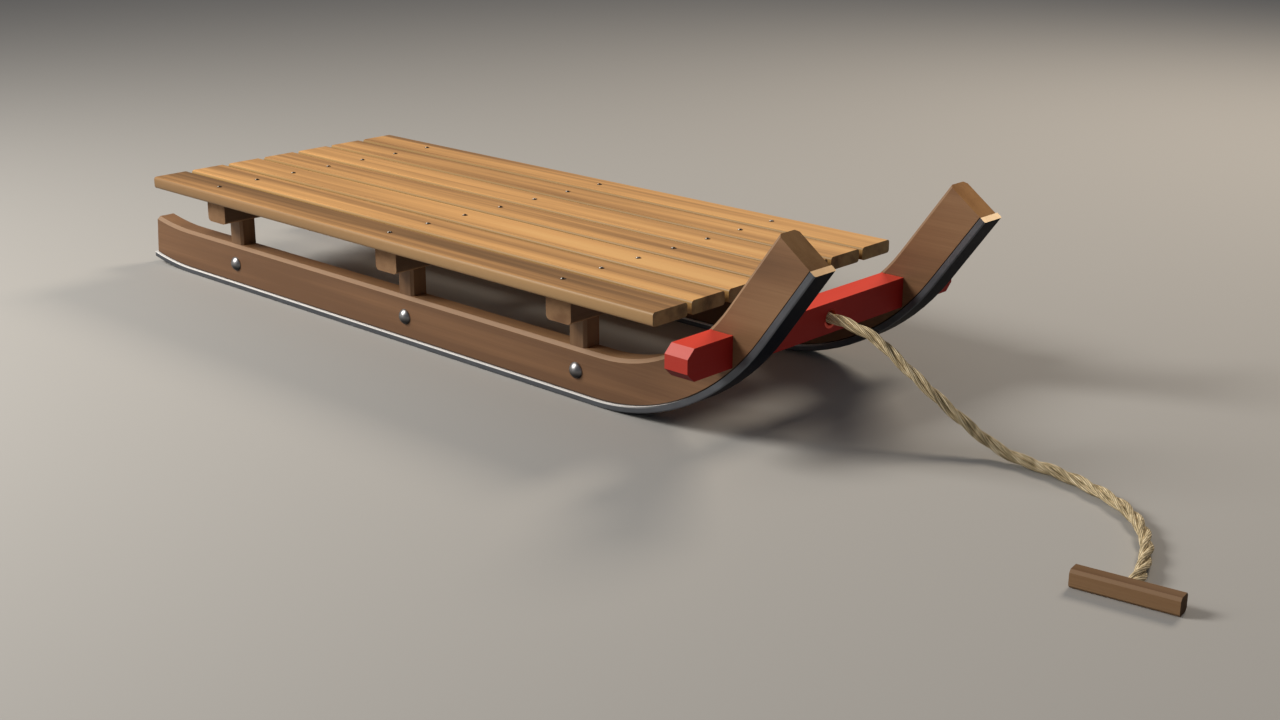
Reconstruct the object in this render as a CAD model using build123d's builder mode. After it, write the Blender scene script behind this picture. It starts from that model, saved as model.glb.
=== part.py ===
"""Horn sled: a slatted wooden deck on two shod runners that rise into horns, with a pull bar and a rope.

Millimetres. +X runs forward to the horns, +Y to the sled's left, +Z up. Z = 0 is the ground under the
shoes, and the origin lies midway between the sled's two ends, on its centre line.
Stations are distances along the sled, counted forward from the rear edge of the deck.
"""
from build123d import *
from math import cos, pi, radians, sin, tan
import os

os.makedirs("parts", exist_ok=True)

# Deck of slats
deck_length = 1000.0
slat_count = 7
slat_width = 57.5
slat_gap = 7.2
slat_thickness = 17.0
slat_round = 4.0

# Crossbars under the deck, one for each row of posts
rear_row_inset = 126.0
front_row_inset = 170.0
middle_row_lead = 32.0
crossbar_width = 42.0
crossbar_height = 34.5
crossbar_length = 405.6
crossbar_round = 6.0

# Posts between the runners and the crossbars
post_length = 29.5
post_width = 24.0
post_height = 37.0
post_chamfer = 3.5
tenon_length = 15.0
tenon_width = 12.0
foot_tenon_depth = 42.0
head_tenon_depth = 22.0

# Runners, seen from the side: a swept tail, a level stretch, a bend and a straight raked horn
runner_spacing = 322.0
runner_thickness = 33.0
bar_cheek = 2.2
horn_taper = 2.5
sweep_station = 8.0
sweep_angle = 10.0
sweep_radius = 480.0
tail_run = 5.2
tail_lean = 5.9
bend_setback = 137.0
bend_radius = 321.0
hollow_ease = 15.0
horn_rake = 54.0
horn_length = 110.5
edge_chamfer_depth = 4.2
edge_chamfer_width = 4.8
under_chamfer = 1.5

# Steel shoes under the runners
shoe_thickness = 8.2
shoe_lip = 1.8
shoe_tail_overhang = 5.9
shoe_tip_overhang = 1.2
shoe_sole_round = 2.0

# Pull bar through both horns
bar_angle = 44.0
bar_width = 33.2
bar_height = 37.6
bar_length = 504.0
bar_end_chamfer_height = 10.3
bar_end_chamfer_length = 11.0

# Clearances between pieces that fit into one another
joint_gap = 0.2
mortise_floor_gap = 1.0
shoe_bedding = 0.2
bar_rope_gap = 2.75
handle_rope_gap = 0.3
rope_ground_gap = 0.2

# Rope, its stopper knot and its handle
rope_diameter = 14.0
rope_rise_in_hole = 1.0
knot_bearing = 4.0
knot_length = 20.0
knot_front_round = 2.0
knot_back_round = 6.0
handle_length = 105.0
handle_thickness = 19.0
handle_chamfer = 3.0
handle_turn = 7.94
handle_station = 1582.5
handle_side = -213.0
handle_hole_depth = 12.0
rope_lead = 22.0

# Rows of posts and crossbars
rear_row = rear_row_inset
front_row = deck_length - front_row_inset
middle_row = (rear_row + front_row) / 2 + middle_row_lead
crossbar_rows = (("rear", rear_row), ("middle", middle_row), ("front", front_row))

# The horns are deep enough to leave a cheek of wood beyond the pull bar's corners
bar_turn = radians(bar_angle)
bar_socket_width = bar_width + 2 * joint_gap
bar_socket_height = bar_height + 2 * joint_gap
horn_depth = bar_socket_width * sin(bar_turn) + bar_socket_height * cos(bar_turn) + 2 * bar_cheek
runner_depth = horn_depth + horn_taper

# Side view of the runners, worked out from the sizes above
rake = radians(horn_rake)
sweep_slope = radians(sweep_angle)
tail_station = sweep_station - sweep_radius * sin(sweep_slope) - tail_run
bend_station = deck_length - bend_setback
horn_corner = bend_station + bend_radius * tan(rake / 2)
tail_corner = sweep_station - sweep_radius * tan(sweep_slope / 2)
horn_reach = bend_radius * tan(rake / 2) + horn_length
wood_low = shoe_thickness + shoe_bedding
wood_high = wood_low + runner_depth
horn_high = wood_low + horn_depth
horn_hollow_radius = bend_radius - wood_high - hollow_ease
runner_middle = runner_spacing / 2

# Levels above the ground
post_top = wood_high + post_height
crossbar_top = post_top + crossbar_height
deck_top = crossbar_top + slat_thickness

# The origin lies midway between the tail of the shoes and the tip of the shoes
shoe_tail = tail_station - shoe_tail_overhang
shoe_reach = horn_reach + shoe_tip_overhang
shoe_tip = horn_corner + shoe_reach * cos(rake)
origin_station = (shoe_tail + shoe_tip) / 2

# The pull bar sits at half the wood's depth, part of the way round the bend
bar_orbit = bend_radius - wood_low - horn_depth / 2
bar_station = bend_station + bar_orbit * sin(bar_turn)
bar_level = bend_radius - bar_orbit * cos(bar_turn)
bar_rear = bar_station - bar_width / 2
rope_level = bar_level + rope_rise_in_hole
rope_radius = rope_diameter / 2
bar_hole_radius = rope_radius + bar_rope_gap


def at(station):
    """X of a station along the sled."""
    return station - origin_station


def side_line(level_depth, raked_depth, tail, reach):
    """Corners of a line that follows the ground line at a height above it: tail, sweep, bend, tip."""
    tail_height = level_depth / cos(sweep_slope) + (tail_corner - tail) * tan(sweep_slope)
    sweep_x = tail_corner + level_depth * tan(sweep_slope / 2)
    bend_x = horn_corner + (level_depth * cos(rake) - raked_depth) / sin(rake)
    tip_x = horn_corner + reach * cos(rake) - raked_depth * sin(rake)
    tip_height = reach * sin(rake) + raked_depth * cos(rake)
    return [
        (at(tail), tail_height),
        (at(sweep_x), level_depth),
        (at(bend_x), level_depth),
        (at(tip_x), tip_height),
    ]


def long_edges(plank, cheek):
    """Edges of a cheek that run the length of a plank, without those of its tail and tip ends."""
    tail_end = plank.faces().sort_by(Axis.X)[0]
    tip_end = plank.faces().sort_by(Axis((0, 0, 0), (cos(rake), 0, sin(rake))))[-1]
    return cheek.edges() - tail_end.edges() - tip_end.edges()


def looks_down(face):
    """Whether a face looks down, at least half as much as the underside of the horns."""
    return face.normal_at().Z < -cos(rake) / 2


# Slats, from the right side of the sled to the left
slat_pitch = slat_width + slat_gap
for number in range(slat_count):
    slat_y = (number - (slat_count - 1) / 2) * slat_pitch
    with BuildPart() as slat:
        with BuildSketch(Plane.YZ.offset(at(0))) as slat_end:
            with Locations((slat_y, crossbar_top + slat_thickness / 2)):
                Rectangle(slat_width, slat_thickness)
            fillet(slat_end.vertices(), radius=slat_round)
        extrude(amount=deck_length)
    slat.part.label = f"slat_{number + 1}"
    export_step(slat.part, f"parts/{slat.part.label}.step")

# Crossbars with rounded lower edges and a socket above each post
for row, station in crossbar_rows:
    with BuildPart() as crossbar:
        with BuildSketch(Plane.XZ):
            with Locations((at(station), post_top + crossbar_height / 2)):
                Rectangle(crossbar_width, crossbar_height)
        extrude(amount=crossbar_length / 2, both=True)
        fillet(crossbar.edges().filter_by(Axis.Y).group_by(Axis.Z)[0], radius=crossbar_round)
        with BuildSketch(Plane.XY.offset(post_top)):
            with Locations((at(station), -runner_middle), (at(station), runner_middle)):
                Rectangle(tenon_length + 2 * joint_gap, tenon_width + 2 * joint_gap)
        extrude(amount=head_tenon_depth + mortise_floor_gap, mode=Mode.SUBTRACT)
    crossbar.part.label = f"crossbar_{row}"
    export_step(crossbar.part, f"parts/{crossbar.part.label}.step")

# Posts: shafts chamfered on their outer edges, with a tenon at the head and a longer one at the foot
for side, side_y in (("left", runner_middle), ("right", -runner_middle)):
    for row, station in crossbar_rows:
        with BuildPart() as post:
            with BuildSketch(Plane.XY.offset(wood_high)) as shaft:
                with Locations((at(station), side_y)):
                    Rectangle(post_length, post_width)
                outer_corners = shaft.vertices().group_by(Axis.Y)[-1 if side_y > 0 else 0]
                chamfer(outer_corners, length=post_chamfer)
            extrude(amount=post_height)
            with BuildSketch(Plane.XY.offset(wood_high - foot_tenon_depth)):
                with Locations((at(station), side_y)):
                    Rectangle(tenon_length, tenon_width)
            extrude(amount=foot_tenon_depth + post_height + head_tenon_depth)
        post.part.label = f"post_{side}_{row}"
        export_step(post.part, f"parts/{post.part.label}.step")

# Runners: a plank cut to its side view, chamfered more above than below, then mortised for posts and bar
low_line = side_line(wood_low, wood_low, tail_station, horn_reach)
high_line = side_line(wood_high, horn_high, tail_station + tail_lean, horn_reach)
for side, side_y in (("left", runner_middle), ("right", -runner_middle)):
    with BuildPart() as runner:
        with BuildSketch(Plane.XZ.offset(-side_y)):
            with BuildLine():
                low = FilletPolyline(*low_line, radius=[sweep_radius - wood_low, bend_radius - wood_low])
                high = FilletPolyline(*high_line, radius=[sweep_radius - wood_high, horn_hollow_radius])
                Line(low @ 0, high @ 0)
                Line(low @ 1, high @ 1)
            make_face()
        extrude(amount=runner_thickness / 2, both=True)
        for cheek in runner.faces().filter_by(Axis.Y):
            under_edges = long_edges(runner, cheek) & runner.faces().filter_by(looks_down).edges()
            upper_edges = long_edges(runner, cheek) - under_edges
            chamfer(upper_edges, length=edge_chamfer_depth, length2=edge_chamfer_width, reference=cheek)
            chamfer(under_edges, length=under_chamfer)
        with BuildSketch(Plane.XY.offset(wood_high)):
            with Locations(*[(at(station), side_y) for row, station in crossbar_rows]):
                Rectangle(tenon_length + 2 * joint_gap, tenon_width + 2 * joint_gap)
        extrude(amount=-(foot_tenon_depth + mortise_floor_gap), mode=Mode.SUBTRACT)
        with BuildSketch(Plane.XZ.offset(-side_y)):
            with Locations((at(bar_station), bar_level)):
                Rectangle(bar_socket_width, bar_socket_height)
        extrude(amount=runner_thickness, both=True, mode=Mode.SUBTRACT)
    runner.part.label = f"runner_{side}"
    export_step(runner.part, f"parts/{runner.part.label}.step")

# Steel shoes: a strip bent to the ground line, a little wider than the wood and rounded along its sole
sole_line = side_line(0.0, 0.0, shoe_tail, shoe_reach)
back_line = side_line(shoe_thickness, shoe_thickness, shoe_tail, shoe_reach)
back_radii = [sweep_radius - shoe_thickness, bend_radius - shoe_thickness]
for side, side_y in (("left", runner_middle), ("right", -runner_middle)):
    with BuildPart() as shoe:
        with BuildSketch(Plane.XZ.offset(-side_y)):
            with BuildLine():
                sole = FilletPolyline(*sole_line, radius=[sweep_radius, bend_radius])
                back = FilletPolyline(*back_line, radius=back_radii)
                Line(sole @ 0, back @ 0)
                Line(sole @ 1, back @ 1)
            make_face()
        extrude(amount=runner_thickness / 2 + shoe_lip, both=True)
        for cheek in shoe.faces().filter_by(Axis.Y):
            sole_edges = shoe.faces().filter_by(looks_down).edges()
            fillet(long_edges(shoe, cheek) & sole_edges, radius=shoe_sole_round)
    shoe.part.label = f"shoe_{side}"
    export_step(shoe.part, f"parts/{shoe.part.label}.step")

# Pull bar: its ends are chamfered above and below, and the rope's hole runs through its middle
with BuildPart() as pull_bar:
    with BuildSketch(Plane.XZ):
        with Locations((at(bar_station), bar_level)):
            Rectangle(bar_width, bar_height)
    extrude(amount=bar_length / 2, both=True)
    for bar_end in (pull_bar.faces().sort_by(Axis.Y)[0], pull_bar.faces().sort_by(Axis.Y)[-1]):
        chamfer(
            bar_end.edges().filter_by(Axis.X),
            length=bar_end_chamfer_height,
            length2=bar_end_chamfer_length,
            reference=bar_end,
        )
    with BuildSketch(Plane.YZ.offset(at(bar_station))):
        with Locations((0, bar_level)):
            Circle(bar_hole_radius)
    extrude(amount=bar_width, both=True, mode=Mode.SUBTRACT)
pull_bar.part.label = "pull_bar"
export_step(pull_bar.part, "parts/pull_bar.step")

# Handle on the ground, with a blind hole for the rope in the middle of the side that faces the sled
grip_along = Vector(cos(radians(handle_turn)), sin(radians(handle_turn)), 0)
grip_inward = Vector(sin(radians(handle_turn)), -cos(radians(handle_turn)), 0)
grip_middle = Vector(at(handle_station), handle_side, handle_thickness / 2)
grip_mouth = grip_middle - grip_inward * (handle_thickness / 2)
with BuildPart() as handle:
    with BuildSketch(Plane(grip_middle, x_dir=grip_inward, z_dir=grip_along)) as grip_end:
        Rectangle(handle_thickness, handle_thickness)
        chamfer(grip_end.vertices(), length=handle_chamfer)
    extrude(amount=handle_length / 2, both=True)
    with BuildSketch(Plane(grip_mouth, z_dir=grip_inward)):
        Circle(rope_radius + handle_rope_gap)
    extrude(amount=handle_hole_depth, mode=Mode.SUBTRACT)
handle.part.label = "handle"
export_step(handle.part, "parts/handle.step")

# Rope: straight runs joined by arcs, from the knot through the bar, down to the ground and on to the handle
rope_rest = rope_radius + rope_ground_gap
rope_end = grip_mouth + grip_inward * handle_hole_depth
rope_approach = grip_mouth - grip_inward * rope_lead
rope_route = [
    Vector(at(bar_rear), 0.0, rope_level),
    Vector(at(1124.0), 0.0, rope_level),
    Vector(at(1190.0), 0.5, 76.0),
    Vector(at(1262.0), 3.0, 33.5),
    Vector(at(1318.0), 5.5, rope_rest),
    Vector(at(1385.0), 2.0, rope_rest),
    Vector(at(1440.0), -14.0, rope_rest),
    Vector(at(1486.0), -36.0, rope_rest),
    Vector(at(1522.0), -69.0, rope_rest),
    Vector(at(1549.0), -109.0, rope_rest),
    Vector(at(1566.0), -150.0, rope_rest),
    rope_approach,
    rope_end,
]
rope_radii = []
for before, corner, after in zip(rope_route, rope_route[1:], rope_route[2:]):
    half_turn = radians((corner - before).get_angle(after - corner)) / 2
    shorter_run = min((corner - before).length, (after - corner).length)
    rope_radii.append(0.45 * shorter_run / tan(half_turn))
print("rope radii", [round(radius) for radius in rope_radii])
with BuildPart() as rope:
    with BuildLine():
        rope_line = FilletPolyline(*rope_route, radius=rope_radii)
    with BuildSketch(Plane(rope_line @ 0, z_dir=rope_line % 0)):
        Circle(rope_radius)
    sweep()
rope_prism = pi * rope_radius**2 * rope_line.length
print("rope length", round(rope_line.length, 1))
print("rope volume over section times length", round(rope.part.volume / rope_prism, 4))
rope.part.label = "rope"
export_step(rope.part, "parts/rope.step")

# Stopper knot: a tight round knot that bears on the rear face of the pull bar
knot_seat = Plane((at(bar_rear), 0, rope_level), x_dir=(-1, 0, 0), z_dir=(0, 1, 0))
with BuildPart() as knot:
    with BuildSketch(knot_seat) as knot_profile:
        Rectangle(knot_length, bar_hole_radius + knot_bearing, align=(Align.MIN, Align.MIN))
        front_corner = knot_profile.vertices().group_by(Axis.Y)[-1].sort_by(Axis.X)[0]
        fillet(front_corner, radius=knot_front_round)
        back_corner = knot_profile.vertices().group_by(Axis.Y)[-1].sort_by(Axis.X)[-1]
        fillet(back_corner, radius=knot_back_round)
    revolve(axis=Axis(knot_seat.origin, knot_seat.x_dir))
knot.part.label = "rope_knot"
export_step(knot.part, "parts/rope_knot.step")

print("deck top", round(deck_top, 2), "sled length", round(shoe_tip - shoe_tail, 1))
print("origin station", round(origin_station, 2))
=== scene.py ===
# %% [markdown]
# # A horn sled in its own finishes
# The sled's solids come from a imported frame, at their real size and place. This lesson leaves those solids
# where they are, gives every one of them a finish of its own, and adds what a plain solid can't show: a rope
# of twisted strands with its stopper knot, the bolts in the runners and the screws in the deck.
# All lengths are metres. +X runs forward to the horns, +Y to the sled's left and +Z up from the ground.

# %% Load the frame
from math import atan2, cos, pi, radians, sin, sqrt

import bmesh
import bpy
from mathutils import Matrix, Vector


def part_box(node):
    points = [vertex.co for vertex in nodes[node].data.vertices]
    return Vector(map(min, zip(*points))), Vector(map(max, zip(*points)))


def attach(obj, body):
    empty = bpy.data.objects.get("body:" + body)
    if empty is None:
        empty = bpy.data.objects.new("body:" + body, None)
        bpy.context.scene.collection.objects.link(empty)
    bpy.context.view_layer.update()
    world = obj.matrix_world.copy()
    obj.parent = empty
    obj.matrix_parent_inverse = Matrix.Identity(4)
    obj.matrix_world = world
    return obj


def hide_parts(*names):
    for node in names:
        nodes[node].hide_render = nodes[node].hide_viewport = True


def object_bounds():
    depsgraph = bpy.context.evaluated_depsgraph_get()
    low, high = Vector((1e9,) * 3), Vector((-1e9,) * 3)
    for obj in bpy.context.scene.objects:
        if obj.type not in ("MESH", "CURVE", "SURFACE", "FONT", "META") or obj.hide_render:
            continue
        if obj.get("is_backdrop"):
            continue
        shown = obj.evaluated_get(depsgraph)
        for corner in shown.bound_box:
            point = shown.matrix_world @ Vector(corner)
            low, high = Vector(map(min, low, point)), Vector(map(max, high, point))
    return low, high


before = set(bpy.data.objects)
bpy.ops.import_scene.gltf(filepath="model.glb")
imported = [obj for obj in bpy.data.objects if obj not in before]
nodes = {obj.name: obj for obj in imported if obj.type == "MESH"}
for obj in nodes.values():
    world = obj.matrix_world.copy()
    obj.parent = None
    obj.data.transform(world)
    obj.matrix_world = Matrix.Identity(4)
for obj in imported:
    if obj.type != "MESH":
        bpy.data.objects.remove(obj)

cad_low, cad_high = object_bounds()
print("solids", len(nodes), "box", [round(side, 4) for side in cad_high - cad_low])

# %% [markdown]
# ## The camera
# A camera can be aimed with a Track To constraint, but a constraint would fight anyone who moves the camera
# later. Here its place and turn are written down: a heading round Z, a dip below the horizon and a slight
# roll. The lens is given for a film gate 36 mm wide, as on a full-frame camera.

# %% Place the camera
eye = Vector((1.6935, -1.5735, 0.7125))
heading = radians(133.09)
dip = radians(18.45)
roll = radians(0.12)
film_width_mm = 36.0
lens_mm = 49.02


def shown(name, data):
    """A new object that shows a camera, a curve, a mesh or a lamp in the scene."""
    made = bpy.data.objects.new(name, data)
    bpy.context.scene.collection.objects.link(made)
    return made


camera_data = bpy.data.cameras.new("sled_camera")
camera_data.sensor_width = film_width_mm
camera_data.lens = lens_mm
camera = shown("sled_camera", camera_data)
level_aim = Matrix.Rotation(heading - pi / 2, 4, "Z") @ Matrix.Rotation(pi / 2 - dip, 4, "X")
camera.matrix_world = Matrix.Translation(eye) @ level_aim @ Matrix.Rotation(roll, 4, "Z")
bpy.context.scene.camera = camera
print("camera height", round(eye.z, 3), "lens", lens_mm)

# %% [markdown]
# ## The route of the rope
# The pull rope leaves its knot behind the bar, passes through the bar's hole, drops to the ground and runs in
# a loose curve to the handle. A rope bends smoothly everywhere, so its route is a NURBS spline: the curve is
# drawn towards its control points without touching them, and has no corners. The spline's order is set after
# its points exist, because a spline with too few points refuses a higher order.
# The shape that Blender works out is read back as a mesh with no thickness, a plain chain of points.

# %% Draw the route and read it back
bar_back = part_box("pull_bar")[0].x
rope_diameter = 0.014
rope_exit = (bar_back, 0.0, 0.11695)
rope_route = (
    rope_exit,
    (0.57305, 0.0000, 0.11695),
    (0.63905, 0.0005, 0.0760),
    (0.71105, 0.0030, 0.0335),
    (0.76705, 0.0055, 0.0072),
    (0.83405, 0.0020, 0.0072),
    (0.88905, -0.0140, 0.0072),
    (0.93505, -0.0360, 0.0072),
    (0.97105, -0.0690, 0.0072),
    (0.99805, -0.1090, 0.0072),
    (1.01505, -0.1500, 0.0072),
    (1.02720, -0.1818, 0.0095),
    (1.03190, -0.2155, 0.0095),
)
route_order = 3
route_steps = 36


def mesh_of(thing):
    """The mesh that Blender works out for an object, with its curves and modifiers applied."""
    graph = bpy.context.evaluated_depsgraph_get()
    return bpy.data.meshes.new_from_object(thing.evaluated_get(graph), depsgraph=graph)


def curve_object(name, points, cyclic=False, kind="POLY"):
    """A new curve object of one spline through, or drawn towards, the points."""
    curve = bpy.data.curves.new(name, "CURVE")
    curve.dimensions = "3D"
    spline = curve.splines.new(kind)
    spline.points.add(len(points) - 1)
    for place, point in zip(spline.points, points):
        place.co = (*point, 1)
    spline.use_cyclic_u = cyclic
    return shown(name, curve)


route = curve_object("route", rope_route, kind="NURBS")
route.data.splines[0].order_u = route_order
route.data.splines[0].use_endpoint_u = True
route.data.splines[0].resolution_u = route_steps
route_line = [vertex.co.copy() for vertex in mesh_of(route).vertices]
bpy.data.objects.remove(route)


def marks_along(points):
    """How far along a line of points each of them lies."""
    marks = [0.0]
    for before, after in zip(points, points[1:]):
        marks.append(marks[-1] + (after - before).length)
    return marks


print("rope length", round(marks_along(route_line)[-1], 4), "points", len(route_line))

# %% [markdown]
# ## The strands
# The rope is laid from strands that wind round one another in a long, easy spiral. One round tube with a
# twisted bump map would keep a straight outline, so each strand is a curve of its own, wound round the route
# at a fixed distance. Its section is a small closed curve with a ridge for each yarn, and the section turns
# the other way as it goes, so that the yarns lie nearly straight along the rope, as they do on a real one.

# %% Measures of the strands
strand_count = 3
strand_pitch = 0.1155
first_turn = radians(81)
yarn_count = 9
yarn_points = 4
yarn_ridge = 0.10
yarn_pitch = 0.105
strand_radius = rope_diameter / 2 / (1 + 1 / sin(pi / strand_count))
strand_orbit = rope_diameter / 2 - strand_radius


def direction_at(points, number):
    """The direction of a line of points at one of them, from its two neighbours."""
    return (points[min(number + 1, len(points) - 1)] - points[max(number - 1, 0)]).normalized()


def sideways_frames(points):
    """Two directions across a line at each of its points, carried along it without any twist."""
    side = direction_at(points, 0).cross(Vector((0, 0, 1))).normalized()
    frames = []
    for number in range(len(points)):
        along = direction_at(points, number)
        side = (side - along * side.dot(along)).normalized()
        frames.append((side, along.cross(side)))
    return frames


print("strand radius", round(strand_radius, 5), "orbit", round(strand_orbit, 5))

# %% Wind the strands and join them in one mesh
yarn_section = []
section_points = yarn_count * yarn_points
for number in range(section_points):
    turn = 2 * pi * number / section_points
    reach = strand_radius * (1 - yarn_ridge + yarn_ridge * abs(cos(yarn_count * turn / 2)))
    yarn_section.append((reach * cos(turn), reach * sin(turn), 0.0))
section = curve_object("yarn_section", yarn_section, cyclic=True)


def wound_strand(line, start_turn):
    """A strand's curve, wound to the right round a line from a starting angle."""
    points, tilts = [], []
    for centre, mark, (side, rise) in zip(line, marks_along(line), sideways_frames(line)):
        turn = start_turn + 2 * pi * mark / strand_pitch
        points.append(centre + (side * cos(turn) + rise * sin(turn)) * strand_orbit)
        tilts.append(2 * pi * mark / yarn_pitch)
    strand = curve_object("strand", points)
    for place, tilt in zip(strand.data.splines[0].points, tilts):
        place.tilt = tilt
    strand.data.bevel_mode = "OBJECT"
    strand.data.bevel_object = section
    strand.data.use_fill_caps = True
    return strand


def laid_rope(line):
    """The meshes of all the strands of a rope along a line."""
    meshes = []
    for number in range(strand_count):
        strand = wound_strand(line, first_turn + 2 * pi * number / strand_count)
        meshes.append(mesh_of(strand))
        bpy.data.objects.remove(strand)
    return meshes


def mesh_object(name, shape):
    """A new object whose mesh is a finished bmesh, which is freed."""
    mesh = bpy.data.meshes.new(name)
    shape.to_mesh(mesh)
    shape.free()
    return shown(name, mesh)


def joined(name, meshes):
    """A new object whose one mesh holds all the given meshes."""
    together = bmesh.new()
    for mesh in meshes:
        together.from_mesh(mesh)
    return mesh_object(name, together)


rope = joined("pull_rope", laid_rope(route_line))
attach(rope, "root")
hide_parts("rope")
print("rope faces", len(rope.data.polygons), "uv maps", [layer.name for layer in rope.data.uv_layers])

# %% [markdown]
# ## The stopper knot
# Behind the bar the rope can't slip out, because it is worked into a tight ring knot that is wider than the
# hole. The strand runs three times round the rope while it swings four times from edge to edge, and passes
# over and under itself at each crossing. All of that is one closed formula, so a loop gives the points, and
# the strand's own section makes the tube. A short end of the rope fills the middle of the ring.

# %% Tie the knot
knot_low, knot_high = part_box("rope_knot")
knot_middle = (knot_low + knot_high) / 2
knot_leads = 3
knot_bights = 4
knot_steps = 240
knot_weave = 0.0024
knot_swing = (knot_high.x - knot_low.x) / 2 - strand_radius
knot_orbit = (knot_high.y - knot_low.y) / 2 - strand_radius - knot_weave
stub_points = 8

knot_line = []
for number in range(knot_steps):
    step = 2 * pi * number / knot_steps
    reach = knot_orbit + knot_weave * sin(2 * knot_bights * step)
    turn = knot_leads * step
    swing = knot_swing * sin(knot_bights * step)
    knot_line.append(knot_middle + Vector((swing, reach * cos(turn), reach * sin(turn))))
ring = curve_object("ring", knot_line, cyclic=True)
ring.data.bevel_mode = "OBJECT"
ring.data.bevel_object = section
stub_back = knot_low.x + strand_radius
stub_step = (rope_exit[0] - stub_back) / (stub_points - 1)
stub_line = [Vector((stub_back + number * stub_step, 0.0, rope_exit[2])) for number in range(stub_points)]
knot = joined("stopper_knot", [mesh_of(ring), *laid_rope(stub_line)])
print("knot box", [round(side, 4) for side in knot_high - knot_low], "faces", len(knot.data.polygons))
bpy.data.objects.remove(ring)
bpy.data.objects.remove(section)
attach(knot, "root")
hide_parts("rope_knot")

# %% [markdown]
# ## The free cord
# The rope is flexible and the sled is not. This cell prints where the rope leaves the bar.

nodes["handle"]
print("cord leaves the bar at", [round(part, 4) for part in rope_exit])

# %% [markdown]
# ## A small language for materials
# Every finish below is worked out by nodes, with no picture. Linking nodes by hand takes many lines, so two
# small classes do it. A Wire stands for one output of a node, and arithmetic with wires adds Math nodes:
# 1 - mask works, because the reflected operators are there too. A Finish holds the material, and its one
# method for all other nodes sets the node up first and then fills its sockets. The other methods are short
# names for the nodes that these finishes use most.

# %% A wire and its arithmetic
class Wire:
    """An output of a node. Arithmetic with it adds Math nodes to its finish."""

    def __init__(self, finish, socket):
        self.finish = finish
        self.socket = socket

    def math(self, operation, *values):
        """The output of a new Math node that works on wires and numbers."""
        return self.finish.node("ShaderNodeMath", {"operation": operation}, dict(enumerate(values)))

    def __add__(self, other):
        return self.math("ADD", self, other)

    def __sub__(self, other):
        return self.math("SUBTRACT", self, other)

    def __rsub__(self, other):
        return self.math("SUBTRACT", other, self)

    def __mul__(self, other):
        return self.math("MULTIPLY", self, other)

    def __truediv__(self, other):
        return self.math("DIVIDE", self, other)

    def __abs__(self):
        return self.math("ABSOLUTE", self)

    def __round__(self):
        return self.math("ROUND", self)

    def at_least(self, low):
        return self.math("MAXIMUM", self, low)

    def cosine(self):
        return self.math("COSINE", self)

    def sine(self):
        return self.math("SINE", self)

    __radd__ = __add__
    __rmul__ = __mul__


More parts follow.
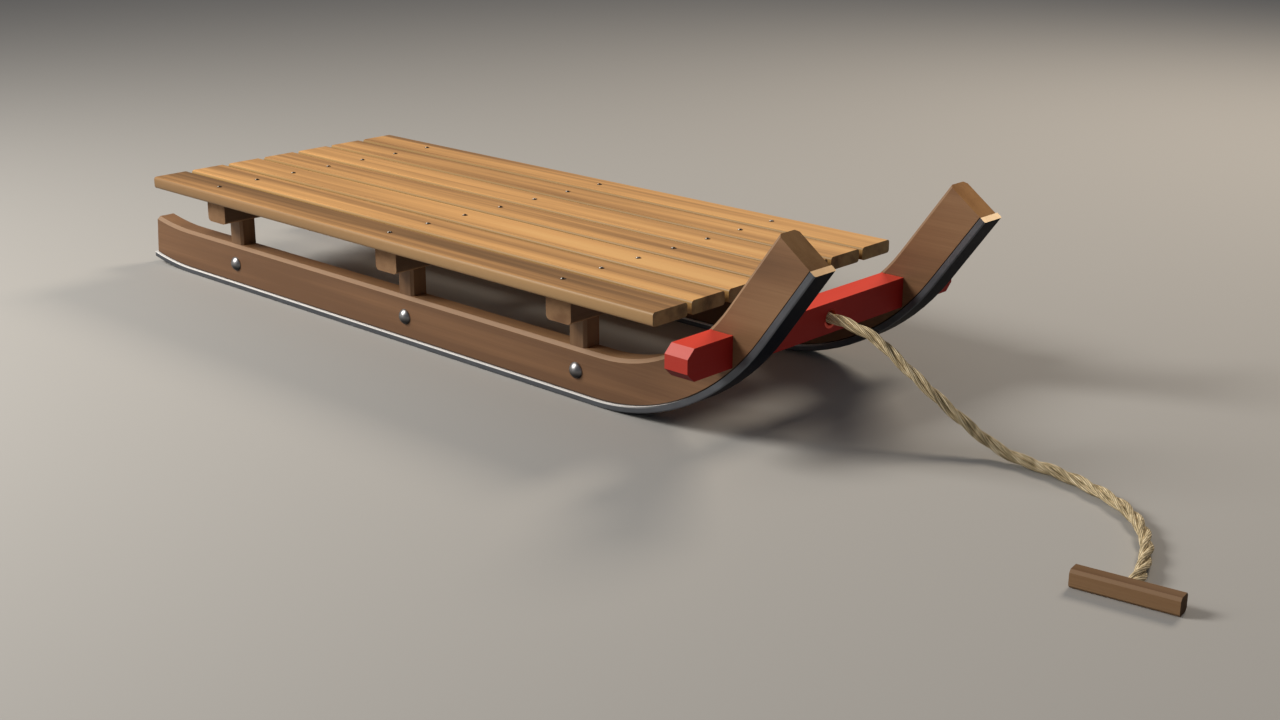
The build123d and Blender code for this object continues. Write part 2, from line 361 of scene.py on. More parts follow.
# %% A finish and its nodes
class Finish:
    """A material, with its main shader and what feeds it."""

    def __init__(self, name):
        self.material = bpy.data.materials.new(name)
        self.material.use_nodes = True
        self.tree = self.material.node_tree
        self.shader = self.tree.nodes["Principled BSDF"]

    def node(self, kind, settings=None, sockets=None, output=0):
        """A new node: its settings first, then the values or wires of its sockets."""
        made = self.tree.nodes.new(kind)
        for name, value in (settings or {}).items():
            if name == "stops":
                self.set_stops(made.color_ramp.elements, value)
            else:
                setattr(made, name, value)
        self.fill(made, sockets or {})
        return Wire(self, made.outputs[output])

    def set_stops(self, elements, stops):
        """Gives a new ramp its stops. It starts with two, so it gets the rest first."""
        for _ in stops[2:]:
            elements.new(0.5)
        for element, (place, colour) in zip(elements, stops):
            element.position = place
            element.color = (*colour, 1)

    def fill(self, made, sockets):
        """Links a node's sockets to wires, or sets their values, where a colour also gets its alpha."""
        for name, value in sockets.items():
            socket = made.inputs[name]
            if isinstance(value, Wire):
                self.tree.links.new(value.socket, socket)
            else:
                socket.default_value = (*value, 1) if socket.type == "RGBA" else value

    def surface(self, **sockets):
        """Feeds the main shader, whose sockets are named here with _ for a space."""
        self.fill(self.shader, {name.replace("_", " "): value for name, value in sockets.items()})
        print("finish", self.material.name, "nodes", len(self.tree.nodes))
        return self.material

    def places(self):
        """Where a point lies in the sled's own frame, in metres."""
        return self.node("ShaderNodeTexCoord", output="Object")

    def facing(self):
        """The way a face looks, as a direction one unit long."""
        return self.node("ShaderNodeNewGeometry", output="Normal")

    def parts(self, vector):
        """The three numbers of a vector, as wires."""
        split = self.node("ShaderNodeSeparateXYZ", sockets={0: vector}).socket.node
        return [Wire(self, socket) for socket in split.outputs]

    def vector(self, *numbers):
        """A vector of up to three numbers or wires."""
        return self.node("ShaderNodeCombineXYZ", sockets=dict(enumerate(numbers)))

    def noise(self, places, scale=(1, 1, 1), detail=2.0, distortion=0.0):
        """Soft noise from 0 to 1, with the scale's number of cells in a metre along each axis."""
        squeezed = self.node("ShaderNodeVectorMath", {"operation": "MULTIPLY"}, {0: places, 1: scale})
        return self.node(
            "ShaderNodeTexNoise",
            sockets={"Vector": squeezed, "Scale": 1.0, "Detail": detail, "Distortion": distortion},
        )

    def streaks(self, places, along, across, detail=2.0, distortion=0.0):
        """Noise drawn out along X, with so many cells in a metre along it and across it."""
        return self.noise(places, (along, across, across), detail, distortion)

    def band(self, value, low, high):
        """0 below low, 1 above high, and a smooth step between them."""
        return self.node(
            "ShaderNodeMapRange",
            {"interpolation_type": "SMOOTHSTEP"},
            {"Value": value, "From Min": low, "From Max": high},
        )

    def looking(self, facing, direction, low=0.90, high=0.98):
        """1 on faces that look in a direction, 0 on others. Its limits are cosines of the angle to it."""
        nearness = self.node(
            "ShaderNodeVectorMath", {"operation": "DOT_PRODUCT"}, {0: facing, 1: direction}, output="Value"
        )
        return self.band(nearness, low, high)

    def spot(self, across, up, radius, rim):
        """1 within a radius of the point where two measures are 0, and 0 beyond a soft rim."""
        away = self.node(
            "ShaderNodeVectorMath", {"operation": "LENGTH"}, {0: self.vector(across, up)}, output="Value"
        )
        return 1 - self.band(away, radius, radius + rim)

    def ramp(self, value, stops):
        """A colour picked from stops by a value from 0 to 1."""
        return self.node("ShaderNodeValToRGB", {"stops": stops}, {0: value})

    def lookup(self, value, stops):
        """A number picked from stops by a value from 0 to 1, as a ramp picks a colour."""
        return self.ramp(value, [(place, (number,) * 3) for place, number in stops])

    def mix(self, factor, first, second, way="MIX"):
        """Two colours mixed: all of the first at 0, all of the second at 1."""
        return self.node(
            "ShaderNodeMix",
            {"data_type": "RGBA", "blend_type": way, "clamp_factor": True},
            {0: factor, 6: first, 7: second},
            output=2,
        )

    def layered(self, colour, layers):
        """A colour under layers. Each has a mask, a colour and the way in which it is mixed."""
        for mask, shade, way in layers:
            colour = self.mix(mask, colour, shade, way)
        return colour

    def bump(self, height, depth, strength):
        """Small relief of a height from 0 to 1, with its full depth in metres."""
        return self.node(
            "ShaderNodeBump", sockets={"Height": height, "Distance": depth, "Strength": strength}
        )


# %% Directions, and a way to paint a piece
forward, backward = (1, 0, 0), (-1, 0, 0)
upward, downward = (0, 0, 1), (0, 0, -1)


def painted(thing, material):
    """Gives an object one material, in place of any it had."""
    thing.data.materials.clear()
    thing.data.materials.append(material)


print("directions", forward, backward, upward, downward)

# %% [markdown]
# ## Wood
# Wood could be one stretched noise, but a board shows several things at once: broad bands where the saw met
# the growth rings at a slant, narrow streaks inside them, and fibres too fine to count. Each is a noise of
# its own, squeezed across the grain and drawn out along it, in the sled's own metres, so that faces of one
# board agree round its edges. A face that cuts across the grain takes up oil in another way, so it has a
# shade of its own and is duller, and on the horn ends that colour is lifted above the cheeks as painted
# light. One function makes every wood on the sled. It is told which way the grain runs, and where a kind of
# piece has marks of its own, a second function gives its tone and its layers.

# %% The wood function
def timber(name, turn, stops, contrast=1.0, width=1.0, ends=(forward, backward),
           cut_shade=(0.36, 0.37, 0.42), coat=0.1, shine=0.35, local=None):
    """A wood whose grain runs along X once its places are turned by the three angles."""
    finish = Finish(name)
    places = finish.node("ShaderNodeMapping", sockets={"Vector": finish.places(), "Rotation": turn})
    facing = finish.facing()
    turned = finish.node("ShaderNodeMapping", sockets={"Vector": facing, "Rotation": turn})
    end_grain = 0.0
    for direction in ends:
        end_grain = finish.looking(turned, direction) + end_grain
    tone, layers = 0.0, []
    if local:
        places, tone, layers = local(finish, places, facing)
    broad = finish.streaks(places, 1, 30 / width, detail=1.5, distortion=0.3)
    streak = finish.streaks(places, 2, 110 / width, detail=3.0, distortion=0.2)
    fine = finish.streaks(places, 8, 600)
    fibre = finish.streaks(places, 30, 2400, detail=1.0)
    grain = broad * 0.62 + streak * 0.20 + fine * 0.13 + fibre * 0.05
    colour = finish.ramp((grain - 0.5) * contrast + tone + 0.5, stops)
    cut_mark = (end_grain * (0.85 + 0.3 * fine), cut_shade, "MULTIPLY")
    return finish.surface(
        Base_Color=finish.layered(colour, [*layers, cut_mark]),
        Roughness=0.42 + 0.18 * (1 - streak) + 0.1 * fibre + 0.3 * end_grain,
        Specular_IOR_Level=shine,
        Coat_Weight=coat * (1 - end_grain),
        Coat_Roughness=0.3,
        Normal=finish.bump(fine * 0.6 + fibre * 0.4, depth=0.0004, strength=0.35),
    )


along_x = (0, 0, 0)
along_y = (0, 0, radians(-90))
along_z = (0, radians(90), 0)
print("grain turns", along_x, along_y, along_z)

# %% [markdown]
# ## The deck's wood
# The slats are boards of one golden wood, but no two have the same grain or tone. That could take seven
# materials. One is enough, because the place across the deck gives a slat's number, and the number gives its
# stretch of grain and its tone. Each top grows paler toward the front, and is a little darker on its left.
# The sides are painted darker than the tops as painted shade, darkest on their lower half and in the gaps.
# Only the two that look outwards grow paler toward the front as well, as painted light. A ring of painted
# shade lies round each screw.

# %% Measures and colours of the deck
slat_low, slat_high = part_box("slat_1")
slat_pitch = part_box("slat_2")[0].y - slat_low.y
deck_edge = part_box("slat_7")[1].y
crossbar_boxes = [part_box(f"crossbar_{row}") for row in ("rear", "middle", "front")]
screw_stations = [(low.x + high.x) / 2 for low, high in crossbar_boxes]
golden_stops = (
    (0.10, (0.190, 0.102, 0.040)),
    (0.26, (0.315, 0.165, 0.064)),
    (0.40, (0.480, 0.255, 0.096)),
    (0.50, (0.610, 0.330, 0.122)),
    (0.60, (0.720, 0.390, 0.143)),
    (0.75, (0.800, 0.465, 0.178)),
)
slat_tones = (0.25, 0.48, 0.60, 0.46, 0.55, 0.52, 0.57)
board_shift_x, board_shift_y = 7.31, 0.39
front_gain = 0.14
left_loss = 0.06
left_part = (0.004, 0.018)
outer_side = (deck_edge - 0.012, deck_edge - 0.008)
# Colours of painted light and shade on the slats' sides.
shaded_side_colour = (0.29, 0.167, 0.070)
lit_side_colour = (0.45, 0.275, 0.120)
gap_shade_colour = (0.33, 0.200, 0.062)
side_strength = 0.85
under_strength = 0.28
# A ring of painted shade lies round each screw's head.
shade_ring_radius = 0.0032
shade_ring_rim = 0.0012
screw_ring_shade = (0.10, 0.085, 0.075)
slat_tail_shade = (1.25, 0.66, 0.44)
slat_cut_shade = (0.40, 0.68, 0.92)
# Black, for the painted shade on the lower half of the sides.
painted_under_shade = (0, 0, 0)
print("slat pitch", round(slat_pitch, 4), "screw rows", [round(station, 3) for station in screw_stations])

# %% Give the deck its wood
def seven_boards(finish, places, facing):
    """Each slat's own stretch of grain and tone, painted light and shade on its sides, and a ring of painted
    shade round each screw.
    """
    x, y, z = finish.parts(places)
    facing_x, facing_y, _ = finish.parts(facing)
    number = round(y / slat_pitch)
    own_y = y - number * slat_pitch
    own_places = finish.vector(x + number * board_shift_x, own_y + number * board_shift_y, z)
    shade_rings = 0.0
    for station in screw_stations:
        shade_rings = finish.spot(x - station, own_y, shade_ring_radius, shade_ring_rim) + shade_rings
    last = len(slat_tones) - 1
    tone_stops = [(place / last, own_tone) for place, own_tone in enumerate(slat_tones)]
    tone = finish.lookup(number / last + 0.5, tone_stops) - 0.5
    tone = tone + front_gain * x - left_loss * finish.band(own_y, *left_part)
    tone = tone * (1 - finish.band(abs(facing_x), 0.5, 0.9))
    # The sides get painted light and shade, and their lower half gets more painted shade.
    sides = finish.band(abs(facing_y), 0.45, 0.85)
    side_colour = finish.mix(finish.band(x, -0.5, 0.45), shaded_side_colour, lit_side_colour)
    side_colour = finish.mix(finish.band(abs(y), *outer_side), gap_shade_colour, side_colour)
    under_half = 1 - finish.band(z, slat_low.z, slat_high.z)
    return own_places, tone, [
        (side_strength * sides, side_colour, "MIX"),
        (under_strength * under_half * sides, painted_under_shade, "MIX"),
        (shade_rings, screw_ring_shade, "MULTIPLY"),
        (finish.looking(facing, backward), slat_tail_shade, "MULTIPLY"),
    ]


slat_wood = timber(
    "slat_wood", along_x, golden_stops, contrast=1.5, width=0.7, cut_shade=slat_cut_shade,
    local=seven_boards,
)
for name in nodes:
    if name.startswith("slat_"):
        painted(nodes[name], slat_wood)

# %% [markdown]
# ## The frame's wood
# Runners, crossbars, posts and handle are one brown wood, oiled and used. A runner is darkest before its bend
# and toward its bottom, and its horn is a little paler inside. Its upper chamfers are pale in patches, partly
# from wear and partly as painted light. Its lower chamfers and the joint over its shoe carry a painted
# shadow. That joint follows the curve of the sole, so a height above the sole is needed: an arc rises by the
# square of the distance along it over twice its radius, near enough where it is still nearly level. The marks
# fade out before it steepens. The tones along a runner are set at shares of the part's whole length, in which
# the rope in front of the sled counts too.

# %% Measures and colours of the frame
brown_stops = (
    (0.25, (0.150, 0.074, 0.034)),
    (0.42, (0.230, 0.117, 0.054)),
    (0.52, (0.285, 0.154, 0.074)),
    (0.64, (0.340, 0.191, 0.094)),
    (0.80, (0.392, 0.233, 0.121)),
)
part_length = cad_high.x - cad_low.x
plank_tones = ((0.03, 0.46), (0.34, 0.22), (0.73, 0.18), (0.79, 0.31), (0.82, 0.38), (0.86, 0.45))
level_start, level_end = -0.543, 0.312
sweep_radius, bend_radius = 0.480, 0.321
horn_rake = radians(54)
horn_end = (cos(horn_rake), 0, sin(horn_rake))
horn_end_limits = (0.96, 0.99)
handle_turn = radians(7.94)
horn_gain = 0.06
horn_levels = (0.07, 0.12)
bottom_loss = 0.20
bottom_levels = (0.010, 0.030)
joint_levels = (0.0102, 0.0116)
joint_fade = (0.04, 0.10)
# Pale brown for the upper chamfers, partly wear and partly painted light.
worn_and_lit_brown = (0.33, 0.210, 0.126)
# The colour of the painted shadow in the joint over the shoe.
joint_shadow_colour = (0.18, 0.18, 0.19)
# The horn ends are lifted above the cheeks as painted light, and the near horn's end is darkened as painted
# shade. The tail's shade brings the tail end back down.
near_end_painted_shade = (0.52, 0.54, 0.53)
plank_tail_shade = (0.36, 0.38, 0.56)
plank_end_painted_light = (1.75, 1.56, 1.00)
# Painted shade for the crossbars' long sides.
crossbar_side_painted_shade = (0.40, 0.44, 0.52)
crossbar_cut_shade = (0.74, 0.76, 0.77)
# Painted shade for the handle's top.
handle_top_painted_shade = (0.50, 0.42, 0.30)
handle_cut_shade = (0.36, 0.36, 0.37)
post_tint = (0.70, 0.71, 0.70)
handle_tint = (1.10, 1.20, 1.28)


def tinted(stops, shade):
    """The same stops with their colours multiplied by a shade."""
    return [(place, [part * tint for part, tint in zip(colour, shade)]) for place, colour in stops]


print("part length", round(part_length, 4), "horn end looks", [round(part, 3) for part in horn_end])

# %% Marks of worn edges and of the sole
def cheeks(finish, facing):
    """1 on a plank's two upright sides, 0 on its other faces."""
    return finish.band(abs(finish.parts(facing)[1]), 0.85, 0.97)


def long_chamfers(finish, facing):
    """1 on the chamfers along a plank, 0 on its cheeks, its top and its underside."""
    return finish.band(abs(finish.parts(facing)[1]), 0.25, 0.45) * (1 - cheeks(finish, facing))


def worn_and_lit_edges(finish, places, facing):
    """Where an upper chamfer is pale, in patches: partly wear, partly painted light."""
    upper = finish.band(finish.parts(facing)[2], 0.0, 0.3)
    return long_chamfers(finish, facing) * upper * (0.35 + 0.7 * finish.streaks(places, 8, 600))


def above_sole(finish, places):
    """Height above the sole, 0.4 mm too great at 0.1 m past its level stretch, and how far past that."""
    x, _, z = finish.parts(places)
    behind_level = (level_start - x).at_least(0.0)
    past_level = (x - level_end).at_least(0.0)
    rise = behind_level * behind_level / (2 * sweep_radius) + past_level * past_level / (2 * bend_radius)
    return z - rise, past_level


# %% Marks of each kind of piece
def bent_plank(finish, places, facing):
    """A plank whose cheeks darken toward its bend and its shoe, with pale edges of wear and painted light, a
    painted shadow on its lower chamfers and joint, and painted shade on its near horn's end.
    """
    x, y, z = finish.parts(places)
    _, facing_y, facing_z = finish.parts(facing)
    cheek = cheeks(finish, facing)
    # The cheeks are darker toward the bottom.
    bottom_darkening = bottom_loss * (1 - finish.band(z, *bottom_levels))
    inner_horn = (1 - finish.band(facing_y * y, -0.12, -0.05)) * finish.band(z, *horn_levels)
    tone = finish.lookup(x / part_length + 0.5, plank_tones) - 0.5 - bottom_darkening + horn_gain * inner_horn
    height, past_level = above_sole(finish, places)
    low_edge = cheek * (1 - finish.band(height, *joint_levels)) * (1 - finish.band(past_level, *joint_fade))
    # The lower chamfers and the cheek just over the shoe get a painted shadow.
    joint_shadow = long_chamfers(finish, facing) * (1 - finish.band(facing_z, -0.35, -0.15)) + 0.8 * low_edge
    # Painted shade on the near horn's end.
    near_end = finish.looking(facing, horn_end, *horn_end_limits) * (1 - finish.band(y, -0.1, 0.1))
    return places, tone * cheek, [
        (worn_and_lit_edges(finish, places, facing), worn_and_lit_brown, "MIX"),
        (joint_shadow, joint_shadow_colour, "MULTIPLY"),
        (near_end, near_end_painted_shade, "MULTIPLY"),
        (finish.looking(facing, backward), plank_tail_shade, "MULTIPLY"),
    ]


def shaded_bar(finish, places, facing):
    """A bar under the deck, whose long sides are darkened as painted shade."""
    long_sides = finish.band(abs(finish.parts(facing)[0]), 0.7, 0.95)
    return places, 0.0, [(long_sides, crossbar_side_painted_shade, "MULTIPLY")]


def small_grip(finish, places, facing):
    """A grip with pale edges, partly wear and partly painted light, and a top darkened as painted shade."""
    return places, 0.0, [
        (worn_and_lit_edges(finish, places, facing), worn_and_lit_brown, "MIX"),
        (finish.looking(facing, upward), handle_top_painted_shade, "MULTIPLY"),
    ]


# %% Give the frame its wood
runner_wood = timber(
    "runner_wood", along_x, brown_stops, width=1.6, ends=(horn_end, backward), cut_shade=plank_end_painted_light,
    local=bent_plank,
)
crossbar_wood = timber(
    "crossbar_wood", along_y, brown_stops, cut_shade=crossbar_cut_shade, local=shaded_bar,
)
post_wood = timber("post_wood", along_z, tinted(brown_stops, post_tint))
handle_wood = timber(
    "handle_wood", (0, 0, -handle_turn), tinted(brown_stops, handle_tint), contrast=0.8,
    cut_shade=handle_cut_shade, coat=0.0, shine=0.12, local=small_grip,
)
for name in nodes:
    if name.startswith("runner_"):
        painted(nodes[name], runner_wood)
    elif name.startswith("crossbar_"):
        painted(nodes[name], crossbar_wood)
    elif name.startswith("post_"):
        painted(nodes[name], post_wood)
painted(nodes["handle"], handle_wood)

# %% [markdown]
# ## Red paint
# The pull bar is painted wood. Paint on wood is never quite flat: the grain shows through as faint long
# waves, and brush marks lie along the bar. One noise drawn out along the bar gives both, as a shallow bump
# and as faint streaks, and a broader one lets the colour drift a little. The top is painted lighter, as
# painted light, and the front and underside a dark maroon, as painted shade. The slopes over its ends carry a
# painted highlight. The wall of the rope's hole and a crescent under the hole are painted a lighter red, as
# painted light.

# %% Where light and shade are painted on the bar
paint = Finish("red_paint")
bar_places = paint.places()
bar_facing = paint.facing()
_, bar_y, bar_z = paint.parts(bar_places)
_, bar_side, bar_rise = paint.parts(bar_facing)
drift = paint.noise(bar_places, (14, 5, 14))
brush = paint.noise(bar_places, (520, 14, 520))
end_slope_highlight = paint.band(abs(bar_side), 0.60, 0.66) * paint.band(bar_rise, 0.66, 0.71)
bar_front = paint.looking(bar_facing, forward, 0.50, 0.80)
front_and_under = paint.looking(bar_facing, downward, 0.35, 0.65) + bar_front
shaded_under_slope = paint.looking(bar_facing, downward, 0.45, 0.65)

# Sizes of the painted light on the hole's wall and in the crescent under it.
hole_radius = 0.00975
light_rim = 0.0006
crescent_radius = 0.0114
crescent_y, crescent_drop = -0.0010, 0.0022
above_hole = bar_z - rope_exit[2]
lit_hole_wall = paint.spot(bar_y, above_hole, hole_radius + light_rim, light_rim) * (1 - bar_front)
lit_crescent = paint.spot(bar_y - crescent_y, above_hole + crescent_drop, crescent_radius, light_rim) * bar_front
lit_crescent = lit_crescent * (1 - paint.band(above_hole, -0.007, -0.003))
print("rope's hole", hole_radius, "painted_light", crescent_radius)

# %% Paint the pull bar
bar_colour = paint.mix(drift, (0.42, 0.026, 0.015), (0.52, 0.035, 0.020))
bar_paint = paint.surface(
    Base_Color=paint.layered(bar_colour, [
        (0.2 * brush, (0.66, 0.07, 0.04), "MIX"),
        # The top is painted lighter, as painted light.
        (paint.looking(bar_facing, upward), (1.60, 1.75, 1.5), "MULTIPLY"),
        # A painted highlight on the slopes over the bar's ends.
        (end_slope_highlight, (0.72, 0.135, 0.11), "MIX"),
        # Painted shade on the front and underside, deeper on the slopes below.
        (front_and_under, (0.66, 0.23, 0.24), "MULTIPLY"),
        (shaded_under_slope, (0.45, 0.3, 0.3), "MULTIPLY"),
        # Painted light on the hole's wall and in a crescent under the hole.
        (lit_hole_wall, (0.80, 0.13, 0.08), "MIX"),
        (lit_crescent, (0.98, 0.12, 0.08), "MIX"),
    ]),
    Roughness=0.38 + 0.16 * brush + 0.2 * front_and_under,
    Specular_IOR_Level=0.3,
    Coat_Weight=0.12 * (1 - front_and_under),
    Coat_Roughness=0.25,
    Normal=paint.bump(brush, depth=0.0003, strength=0.3),
)
painted(nodes["pull_bar"], bar_paint)

# %% [markdown]
# ## Steel of the shoes
# The shoes are steel strip. The face that slides is painted nearly black as painted shade, and the sides a
# greyer colour as painted light. The narrow ledge that stands out beside the wood, and its rim, carry a
# painted white highlight, and the ends at the horn tips a painted warm reflection. A face's normal tells most
# of these places apart. A tip must also lie high up, and the rim is found by the same height above the sole
# as the joint in the runners' wood.

# %% Finish the shoes
steel = Finish("shoe_steel")
steel_places = steel.places()
steel_facing = steel.facing()
_, steel_y, steel_z = steel.parts(steel_places)
_, facing_y, facing_z = steel.parts(steel_facing)
rim_levels = (0.0066, 0.0072)
rim_fade = (0.0, 0.12)
tip_levels = (0.18, 0.19)
drawn = steel.streaks(steel_places, 6, 900)
patches = steel.noise(steel_places, (30, 60, 60), detail=3.0)
sideways = steel.band(abs(facing_y), 0.15, 0.45)
height, past_level = above_sole(steel, steel_places)
rim = steel.band(height, *rim_levels) * (1 - steel.band(past_level, *rim_fade))
# Painted highlight on the ledge and its rim.
ledge_highlight = steel.band(facing_z, 0.80, 0.97) + sideways * rim
# A painted warm reflection on the ends at the horn tips, lighter on the far horn.
tip_reflection = steel.looking(steel_facing, horn_end, *horn_end_limits) * steel.band(steel_z, *tip_levels)
# The near-black sole is painted shade, and the greyer sides are painted light.
shaded_sole_colour = steel.mix(patches, (0.004, 0.0055, 0.010), (0.007, 0.009, 0.015))
side_colour = steel.mix(patches, (0.105, 0.114, 0.130), (0.165, 0.176, 0.198))
tip_reflection_colour = steel.mix(steel.band(steel_y, -0.20, 0.20), (0.54, 0.39, 0.235), (0.78, 0.62, 0.42))
shoe_finish = steel.surface(
    Base_Color=steel.layered(shaded_sole_colour, [
        (sideways, side_colour, "MIX"),
        (ledge_highlight * (0.85 + 0.15 * drawn), (0.95, 0.94, 0.93), "MIX"),
        (tip_reflection, tip_reflection_colour, "MIX"),
    ]),
    Metallic=0.85 * sideways * (1 - ledge_highlight) + 0.6 * tip_reflection,
    Roughness=0.46 + 0.12 * patches + 0.1 * tip_reflection,
    Specular_IOR_Level=0.03,
    Normal=steel.bump(drawn, depth=0.0002, strength=0.25),
)
for name in ("shoe_left", "shoe_right"):
    painted(nodes[name], shoe_finish)

# %% [markdown]
# ## Rope fibre
# The strands carry a UV map from their curves: U runs along the strand and V round it. A mask made from V
# darkens the grooves between the yarns as painted shade, and a noise on a ring drawn from V gives single
# fibres, with no seam.

# %% Finish the rope
fibre = Finish("rope_fibre")
along, around, _ = fibre.parts(fibre.node("ShaderNodeTexCoord", output="UV"))
hairs_along = 60.0
hairs_ring = 2.6
ring_turn = around * (2 * pi)
ring_across, ring_up = ring_turn.cosine() * hairs_ring, ring_turn.sine() * hairs_ring
ring_places = fibre.vector(along * hairs_along, ring_across, ring_up)
hairs = fibre.noise(ring_places, detail=3.0)
blotch = fibre.noise(fibre.places(), (60, 60, 60))
straw = fibre.ramp(hairs * 0.75 + blotch * 0.25, (
    (0.36, (0.180, 0.145, 0.085)),
    (0.46, (0.540, 0.430, 0.252)),
    (0.53, (0.820, 0.665, 0.405)),
    (0.62, (0.970, 0.840, 0.590)),
))
# Painted shade in the grooves between the yarns.
groove_shade_colour = (0.20, 0.160, 0.095)
out_of_groove = fibre.band(abs((around * (pi * yarn_count)).cosine()), 0.05, 0.80)
rope_finish = fibre.surface(
    Base_Color=fibre.mix(out_of_groove, groove_shade_colour, straw),
    Roughness=0.85,
    Specular_IOR_Level=0.2,
    Normal=fibre.bump(hairs, depth=0.0006, strength=0.8),
)
painted(rope, rope_finish)
painted(knot, rope_finish)

# %% [markdown]
# ## Bolts
# A domed bolt runs through each runner and the foot of the post in it. A head could be a squashed sphere, but
# its rim would be thin and its crown too pointed. Here an arc is spun from the rim to the crown, and then
# spun once round the axis, which is how such a head is turned. The steel is bare above, and below it is
# painted dark as painted shade.

# %% Turn a round head
sunk = 0.0003


def round_head(radius, rise, rim, arc_steps, turn_steps):
    """A closed domed head, sunk a little below Z = 0: a short straight rim, then an arc up to its crown."""
    head = bmesh.new()
    crown_radius = (radius**2 + rise**2) / (2 * rise)
    tip = head.verts.new((0, 0, -sunk))
    for corner in ((radius, 0, -sunk), (radius, 0, rim)):
        tip = bmesh.ops.extrude_vert_indiv(head, verts=[tip])["verts"][0]
        tip.co = corner
    bmesh.ops.spin(
        head, geom=[tip], cent=(0, 0, rim + rise - crown_radius), axis=(0, 1, 0), dvec=(0, 0, 0),
        angle=-atan2(radius, crown_radius - rise), steps=arc_steps,
    )
    bmesh.ops.spin(
        head, geom=head.edges[:] + head.verts[:], cent=(0, 0, 0), axis=(0, 0, 1), dvec=(0, 0, 0),
        angle=2 * pi, steps=turn_steps, use_merge=True,
    )
    bmesh.ops.remove_doubles(head, verts=head.verts, dist=1e-6)
    bmesh.ops.recalc_face_normals(head, faces=head.faces)
    return head


bolt_radius = 0.0105
bolt_rise = 0.0062
bolt_rim = 0.0008
bolt_head = round_head(bolt_radius, bolt_rise, bolt_rim, arc_steps=8, turn_steps=40)
print("bolt head faces", len(bolt_head.faces))

# %% Steel for the bolts
bright = Finish("bolt_steel")
speckle = bright.noise(bright.places(), (300, 300, 300), detail=3.0)
# The lower half is painted dark, as painted shade.
shaded_lower_half = 1 - bright.looking(bright.facing(), upward, -0.55, 0.45)
bare = bright.mix(speckle, (0.32, 0.32, 0.33), (0.42, 0.42, 0.43))
bolt_steel = bright.surface(
    Base_Color=bright.mix(shaded_lower_half, bare, (0.03, 0.03, 0.032)),
    Metallic=1.0,
    Roughness=0.32 + 0.10 * speckle,
)

# %% Place the bolts
bolt_level = 0.0376
bolt_lead = 0.0033


def stamped(name, shape, places, material, smooth=True):
    """One new piece that repeats a shape at each place, given as matrices."""
    pattern = bpy.data.meshes.new("pattern")
    shape.to_mesh(pattern)
    shape.free()
    together = bmesh.new()
    for place in places:
        together.from_mesh(pattern)
        fresh = together.verts[-len(pattern.vertices):]
        bmesh.ops.transform(together, matrix=place, verts=fresh)
    bpy.data.meshes.remove(pattern)
    made = mesh_object(name, together)
    for face in made.data.polygons:
        face.use_smooth = smooth
    painted(made, material)
    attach(made, "root")
    print(name, "faces", len(made.data.polygons))


head_places, nut_places = [], []
for name in nodes:
    if name.startswith("post_"):
        side = "left" if "left" in name else "right"
        outward = 1 if side == "left" else -1
        post_low, post_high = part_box(name)
        runner_low, runner_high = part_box(f"runner_{side}")
        inner_y, outer_y = sorted((runner_low.y, runner_high.y), key=abs)
        station = (post_low.x + post_high.x) / 2 + bolt_lead
        out_turn = Matrix.Rotation(-outward * pi / 2, 4, "X")
        in_turn = Matrix.Rotation(outward * pi / 2, 4, "X")
        head_places.append(Matrix.Translation((station, outer_y, bolt_level)) @ out_turn)
        nut_places.append(Matrix.Translation((station, inner_y, bolt_level)) @ in_turn)
stamped("bolt_heads", bolt_head, head_places, bolt_steel)

# %% [markdown]
# ## Nuts and washers
# On a runner's inner side each bolt ends in a washer, a nut and the tip of its thread. All three are straight
# discs with a bevelled edge, so one function raises each from a circle, and the nut's circle has six sides.
# They are left flat, because smooth shading would round off the nut's corners.

# %% Nuts and washers inside the runners
washer_radius = 0.0105
washer_height = 0.0016
washer_bevel = 0.0003
nut_radius = 0.0092
nut_height = 0.0070
nut_bevel = 0.0009
stud_radius = 0.0038
stud_reach = 0.0022
stud_bevel = 0.0005


def disc(shape, radius, segments, low, high, bevel):
    """Adds a closed straight-sided disc between two levels, with its upper edge bevelled."""
    ring = bmesh.ops.create_circle(shape, cap_ends=True, segments=segments, radius=radius)["verts"]
    bmesh.ops.translate(shape, vec=(0, 0, low), verts=ring)
    base = [face for face in shape.faces if all(vertex in ring for vertex in face.verts)]
    top = bmesh.ops.extrude_face_region(shape, geom=base)["geom"]
    top_verts = [item for item in top if isinstance(item, bmesh.types.BMVert)]
    bmesh.ops.translate(shape, vec=(0, 0, high - low), verts=top_verts)
    upper = [edge for edge in shape.edges if all(vertex in top_verts for vertex in edge.verts)]
    bmesh.ops.bevel(
        shape, geom=upper, offset=bevel, affect="EDGES", segments=2, profile=0.5, material=-1
    )


nut_top = washer_height + nut_height
nut = bmesh.new()
disc(nut, washer_radius, segments=40, low=-sunk, high=washer_height, bevel=washer_bevel)
disc(nut, nut_radius, segments=6, low=washer_height - sunk, high=nut_top, bevel=nut_bevel)
disc(nut, stud_radius, segments=24, low=nut_top - sunk, high=nut_top + stud_reach, bevel=stud_bevel)
bmesh.ops.recalc_face_normals(nut, faces=nut.faces)
stamped("bolt_nuts", nut, nut_places, bolt_steel, smooth=False)

# %% [markdown]
# ## Screws
# A round-headed screw holds each slat at each crossbar. The slot is cut by bisecting the head on both sides
# of it and pressing down the strip between the cuts. The steel is nearly black, and each head carries a
# painted glint where its dome leans to the right and a little to the rear, which its normal tells.

# %% Cut a slotted head
screw_radius = 0.0031
screw_rise = 0.0013
screw_rim = 0.0004
slot_half = 0.00032
slot_depth = 0.0007

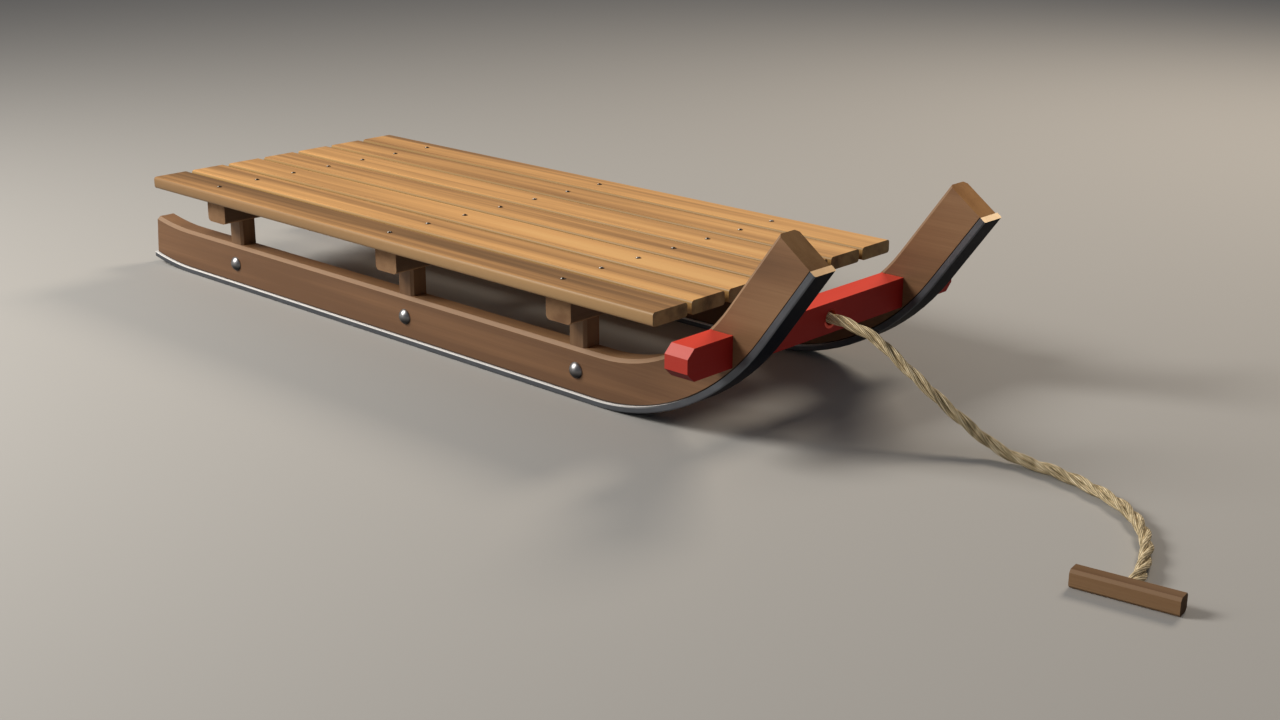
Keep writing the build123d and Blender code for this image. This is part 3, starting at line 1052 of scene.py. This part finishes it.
screw = round_head(screw_radius, screw_rise, screw_rim, arc_steps=6, turn_steps=28)
for edge_x in (slot_half, -slot_half):
    bmesh.ops.bisect_plane(
        screw, geom=screw.verts[:] + screw.edges[:] + screw.faces[:], plane_co=(edge_x, 0, 0),
        plane_no=(1, 0, 0), dist=1e-7,
    )
strip = [
    face for face in screw.faces
    if abs(face.calc_center_median().x) < slot_half and face.calc_center_median().z > screw_rim
]
pressed = bmesh.ops.extrude_face_region(screw, geom=strip)["geom"]
bmesh.ops.translate(
    screw, vec=(0, 0, -slot_depth), verts=[item for item in pressed if isinstance(item, bmesh.types.BMVert)]
)
bmesh.ops.delete(screw, geom=strip, context="FACES_ONLY")
bmesh.ops.recalc_face_normals(screw, faces=screw.faces)
print("screw head faces", len(screw.faces))

# %% Darker steel for the screws
small_steel = Finish("screw_steel")
screw_speckle = small_steel.noise(small_steel.places(), (900, 900, 900))
glint_way = Vector((-0.38, -0.56, 0.74)).normalized()
# A painted glint, white and not metallic.
painted_light = small_steel.looking(small_steel.facing(), glint_way, 0.88, 0.94)
dull = small_steel.mix(screw_speckle, (0.026, 0.017, 0.011), (0.06, 0.044, 0.031))
screw_steel = small_steel.surface(
    Base_Color=small_steel.mix(painted_light, dull, (0.95, 0.92, 0.86)),
    Metallic=0.8 * (1 - painted_light),
    Roughness=0.40 + 0.10 * screw_speckle,
)

# %% Place the screws
golden_turn = pi * (3 - sqrt(5))
screw_places = []
for station in screw_stations:
    for number in range(1, 8):
        board_low, board_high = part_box(f"slat_{number}")
        spot = (station, (board_low.y + board_high.y) / 2, board_high.z)
        turn = Matrix.Rotation(golden_turn * len(screw_places), 4, "Z")
        screw_places.append(Matrix.Translation(spot) @ turn)
stamped("deck_screws", screw, screw_places, screw_steel)

# %% [markdown]
# ## Floor and light
# A plain pale floor reaches past the camera's view. Three soft lamps light the sled, and none hangs in front
# of it, so the front ends stay in shade: a wide key lamp above the tail's right side, a weak low one under it
# that softens the key's shadows, and a warmer one on the left. A faint sky fills the rest. The Standard view
# shows the colours as they come out, with no film look over them.

# %% Lay the floor
floor_radius = 40.0
floor_shape = bmesh.new()
bmesh.ops.create_circle(floor_shape, cap_ends=True, segments=96, radius=floor_radius)
studio_floor = mesh_object("studio_floor", floor_shape)
painted(studio_floor, Finish("studio_floor").surface(Base_Color=(0.43, 0.425, 0.41), Roughness=0.8))
studio_floor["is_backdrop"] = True

# %% Hang the lamps
studio = bpy.data.worlds.new("studio_sky")
bpy.context.scene.world = studio
studio.use_nodes = True
sky = studio.node_tree.nodes["Background"]
sky.inputs["Color"].default_value = (0.86, 0.90, 1.0, 1)
sky.inputs["Strength"].default_value = 0.13
bpy.context.scene.view_settings.view_transform = "Standard"
sled_heart = Vector((0.1, 0.0, 0.1))
key_white = (1.0, 0.95, 0.88)
warm_white = (1.0, 0.86, 0.70)


def hang_lamp(name, direction, distance, width, watts, colour):
    """A round soft lamp that hangs in a direction from the sled and faces it."""
    lamp = bpy.data.lights.new(name, "AREA")
    lamp.shape = "DISK"
    lamp.size = width
    lamp.energy = watts
    lamp.color = colour
    reach = Vector(direction).normalized() * distance
    aim = reach.to_track_quat("Z", "Y").to_matrix().to_4x4()
    shown(name, lamp).matrix_world = Matrix.Translation(sled_heart + reach) @ aim
    print(name, "hangs", distance, "m away with", watts, "W")


hang_lamp("key_lamp", (-0.52, -0.62, 0.59), distance=3.2, width=1.3, watts=95, colour=key_white)
hang_lamp("low_lamp", (-0.45, -0.82, 0.36), distance=2.8, width=1.0, watts=10, colour=key_white)
hang_lamp("back_lamp", (0.10, 0.76, 0.64), distance=3.6, width=1.2, watts=66, colour=warm_white)

# %% [markdown]
# ## Last sizes
# The sizes before and after the dressing are printed side by side, because the new pieces have to stay in the
# space that the solids take up.

# %% Print the sizes
seen_low, seen_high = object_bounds()
sizes = {
    "cad": [list(cad_low), list(cad_high)],
    "visual": [list(seen_low), list(seen_high)],
}
print("sizes", sizes)
